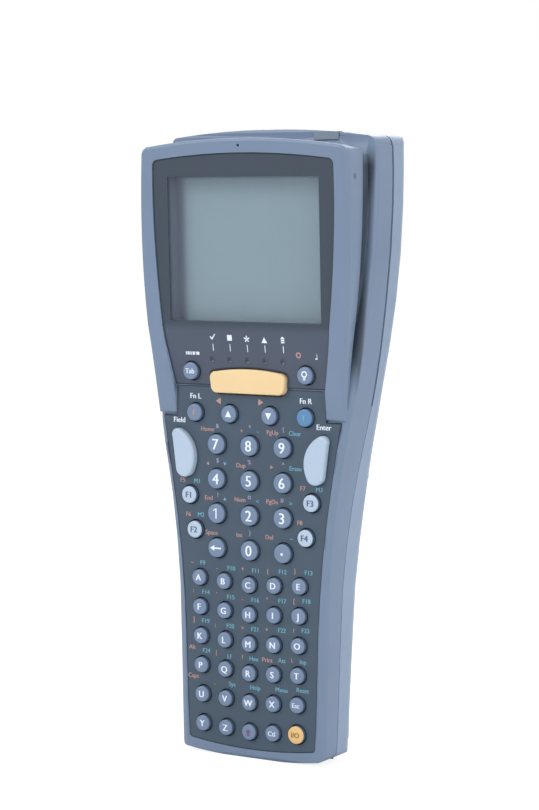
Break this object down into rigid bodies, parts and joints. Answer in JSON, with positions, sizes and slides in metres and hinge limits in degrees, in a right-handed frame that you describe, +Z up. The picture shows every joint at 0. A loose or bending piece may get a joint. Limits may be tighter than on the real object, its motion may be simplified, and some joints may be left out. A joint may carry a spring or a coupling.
{
  "type": "portable barcode data terminal",
  "caption": "Hand-held bar code data terminal: waisted casing, leaning screen head, round keys, tall thumb keys, scan bar, and a hinged, latched battery door at the back.",
  "frame": {"origin": "centre of the bounding box's underside, on the surface the terminal stands on", "axes": "+Z up the terminal's length, screen and keys face -Y, +X to the right of someone who looks at the screen"},
  "size_m": [0.0916, 0.046, 0.236],
  "materials": {
    "casing": "fine grained moulding",
    "gasket": "matt",
    "panel": "fine matt sheet",
    "window": "clear, flat",
    "screen_frame": "matt",
    "screen": "reflective liquid crystal, off",
    "mat": "matt",
    "board": "varnished",
    "steel": "bright",
    "ceramic": "matt",
    "dark_plastic": "matt black",
    "lights": "smoked",
    "scan_window": "dark red, clear",
    "battery": "matt",
    "latch": "matt",
    "pads": "plated",
    "screws": "blackened",
    "tab": "matt",
    "scan_bar": "satin",
    "power_key": "satin",
    "light_key": "satin",
    "key": "satin"
  },
  "bodies": {
    "casing": {"front_casing": "casing", "back_casing": "casing", "casing_gasket": "gasket", "display_panel": "panel", "display_window": "window", "display_frame": "screen_frame", "lcd_module": "screen", "keypad_overlay": "panel", "keypad_mat": "mat", "keypad_board": "board", "main_board": "board", "backup_cell": "steel", "antenna": "ceramic", "sounder": "dark_plastic", "indicator_lights": "lights", "scan_engine": "dark_plastic", "scan_window": "scan_window", "battery_pack": "battery", "battery_contacts": "pads", "door_hinge_pin": "steel", "connector_block": "dark_plastic", "charging_pads": "pads", "casing_screws": "screws", "top_tab": "tab"},
    "battery_door": {"battery_door": "casing"},
    "latch": {"door_latch": "latch"},
    "scan_bar": {"scan_bar": "scan_bar"},
    "field_key": {"field_key": "light_key"},
    "enter_key": {"enter_key": "light_key"},
    "power_key": {"power_key": "power_key"},
    "key_7": {"key_7": "key"},
    "key_8": {"key_8": "key"},
    "key_9": {"key_9": "key"},
    "key_4": {"key_4": "key"},
    "key_5": {"key_5": "key"},
    "key_6": {"key_6": "key"},
    "key_1": {"key_1": "key"},
    "key_2": {"key_2": "key"},
    "key_3": {"key_3": "key"},
    "key_back": {"key_back": "key"},
    "key_0": {"key_0": "key"},
    "key_point": {"key_point": "key"},
    "key_f1": {"key_f1": "light_key"},
    "key_f2": {"key_f2": "light_key"},
    "key_f3": {"key_f3": "light_key"},
    "key_f4": {"key_f4": "light_key"},
    "fn_left_key": {"fn_left_key": "key"},
    "up_key": {"up_key": "key"},
    "down_key": {"down_key": "key"},
    "fn_right_key": {"fn_right_key": "key"},
    "tab_key": {"tab_key": "key"},
    "backlight_key": {"backlight_key": "key"},
    "letters_a_to_e": {"letters_a_to_e": "key"},
    "letters_f_to_j": {"letters_f_to_j": "key"},
    "letters_k_to_o": {"letters_k_to_o": "key"},
    "letters_p_to_t": {"letters_p_to_t": "key"},
    "letters_u_to_z": {"letters_u_to_z": "key"},
    "escape_key": {"escape_key": "key"},
    "shift_key": {"shift_key": "key"},
    "control_key": {"control_key": "key"}
  },
  "joints": [
    {"name": "door_hinge", "type": "hinge", "parent": "casing", "child": "battery_door", "pos_m": [0, 0.00958, 0.0965], "axis": [1, 0, 0], "range_deg": [0, 100]},
    {"name": "latch_slide", "type": "slide", "parent": "battery_door", "child": "latch", "axis": [0, 0, 1], "range_m": [-0.0022, 0]},
    {"name": "scan_bar_press", "type": "slide", "parent": "casing", "child": "scan_bar", "axis": [0, 1, 0], "range_m": [0, 0.001], "stiffness_N_per_m": 600},
    {"name": "field_key_press", "type": "slide", "parent": "casing", "child": "field_key", "axis": [0, 1, 0], "range_m": [0, 0.001], "stiffness_N_per_m": 400},
    {"name": "enter_key_press", "type": "slide", "parent": "casing", "child": "enter_key", "axis": [0, 1, 0], "range_m": [0, 0.001], "stiffness_N_per_m": 400},
    {"name": "power_key_press", "type": "slide", "parent": "casing", "child": "power_key", "axis": [0, 1, 0], "range_m": [0, 0.001], "stiffness_N_per_m": 400},
    {"name": "key_7_press", "type": "slide", "parent": "casing", "child": "key_7", "axis": [0, 1, 0], "range_m": [0, 0.001], "stiffness_N_per_m": 400},
    {"name": "key_8_press", "type": "slide", "parent": "casing", "child": "key_8", "axis": [0, 1, 0], "range_m": [0, 0.001], "stiffness_N_per_m": 400},
    {"name": "key_9_press", "type": "slide", "parent": "casing", "child": "key_9", "axis": [0, 1, 0], "range_m": [0, 0.001], "stiffness_N_per_m": 400},
    {"name": "key_4_press", "type": "slide", "parent": "casing", "child": "key_4", "axis": [0, 1, 0], "range_m": [0, 0.001], "stiffness_N_per_m": 400},
    {"name": "key_5_press", "type": "slide", "parent": "casing", "child": "key_5", "axis": [0, 1, 0], "range_m": [0, 0.001], "stiffness_N_per_m": 400},
    {"name": "key_6_press", "type": "slide", "parent": "casing", "child": "key_6", "axis": [0, 1, 0], "range_m": [0, 0.001], "stiffness_N_per_m": 400},
    {"name": "key_1_press", "type": "slide", "parent": "casing", "child": "key_1", "axis": [0, 1, 0], "range_m": [0, 0.001], "stiffness_N_per_m": 400},
    {"name": "key_2_press", "type": "slide", "parent": "casing", "child": "key_2", "axis": [0, 1, 0], "range_m": [0, 0.001], "stiffness_N_per_m": 400},
    {"name": "key_3_press", "type": "slide", "parent": "casing", "child": "key_3", "axis": [0, 1, 0], "range_m": [0, 0.001], "stiffness_N_per_m": 400},
    {"name": "key_back_press", "type": "slide", "parent": "casing", "child": "key_back", "axis": [0, 1, 0], "range_m": [0, 0.001], "stiffness_N_per_m": 400},
    {"name": "key_0_press", "type": "slide", "parent": "casing", "child": "key_0", "axis": [0, 1, 0], "range_m": [0, 0.001], "stiffness_N_per_m": 400},
    {"name": "key_point_press", "type": "slide", "parent": "casing", "child": "key_point", "axis": [0, 1, 0], "range_m": [0, 0.001], "stiffness_N_per_m": 400},
    {"name": "key_f1_press", "type": "slide", "parent": "casing", "child": "key_f1", "axis": [0, 1, 0], "range_m": [0, 0.001], "stiffness_N_per_m": 400},
    {"name": "key_f2_press", "type": "slide", "parent": "casing", "child": "key_f2", "axis": [0, 1, 0], "range_m": [0, 0.001], "stiffness_N_per_m": 400},
    {"name": "key_f3_press", "type": "slide", "parent": "casing", "child": "key_f3", "axis": [0, 1, 0], "range_m": [0, 0.001], "stiffness_N_per_m": 400},
    {"name": "key_f4_press", "type": "slide", "parent": "casing", "child": "key_f4", "axis": [0, 1, 0], "range_m": [0, 0.001], "stiffness_N_per_m": 400},
    {"name": "fn_left_key_press", "type": "slide", "parent": "casing", "child": "fn_left_key", "axis": [0, 1, 0], "range_m": [0, 0.001], "stiffness_N_per_m": 400},
    {"name": "up_key_press", "type": "slide", "parent": "casing", "child": "up_key", "axis": [0, 1, 0], "range_m": [0, 0.001], "stiffness_N_per_m": 400},
    {"name": "down_key_press", "type": "slide", "parent": "casing", "child": "down_key", "axis": [0, 1, 0], "range_m": [0, 0.001], "stiffness_N_per_m": 400},
    {"name": "fn_right_key_press", "type": "slide", "parent": "casing", "child": "fn_right_key", "axis": [0, 1, 0], "range_m": [0, 0.001], "stiffness_N_per_m": 400},
    {"name": "tab_key_press", "type": "slide", "parent": "casing", "child": "tab_key", "axis": [0, 1, 0], "range_m": [0, 0.001], "stiffness_N_per_m": 400},
    {"name": "backlight_key_press", "type": "slide", "parent": "casing", "child": "backlight_key", "axis": [0, 1, 0], "range_m": [0, 0.001], "stiffness_N_per_m": 400},
    {"name": "letters_a_to_e_press", "type": "slide", "parent": "casing", "child": "letters_a_to_e", "axis": [0, 1, 0], "range_m": [0, 0.001], "stiffness_N_per_m": 400},
    {"name": "letters_f_to_j_press", "type": "slide", "parent": "casing", "child": "letters_f_to_j", "axis": [0, 1, 0], "range_m": [0, 0.001], "stiffness_N_per_m": 400},
    {"name": "letters_k_to_o_press", "type": "slide", "parent": "casing", "child": "letters_k_to_o", "axis": [0, 1, 0], "range_m": [0, 0.001], "stiffness_N_per_m": 400},
    {"name": "letters_p_to_t_press", "type": "slide", "parent": "casing", "child": "letters_p_to_t", "axis": [0, 1, 0], "range_m": [0, 0.001], "stiffness_N_per_m": 400},
    {"name": "letters_u_to_z_press", "type": "slide", "parent": "casing", "child": "letters_u_to_z", "axis": [0, 1, 0], "range_m": [0, 0.001], "stiffness_N_per_m": 400},
    {"name": "escape_key_press", "type": "slide", "parent": "casing", "child": "escape_key", "axis": [0, 1, 0], "range_m": [0, 0.001], "stiffness_N_per_m": 400},
    {"name": "shift_key_press", "type": "slide", "parent": "casing", "child": "shift_key", "axis": [0, 1, 0], "range_m": [0, 0.001], "stiffness_N_per_m": 400},
    {"name": "control_key_press", "type": "slide", "parent": "casing", "child": "control_key", "axis": [0, 1, 0], "range_m": [0, 0.001], "stiffness_N_per_m": 400}
  ]
}
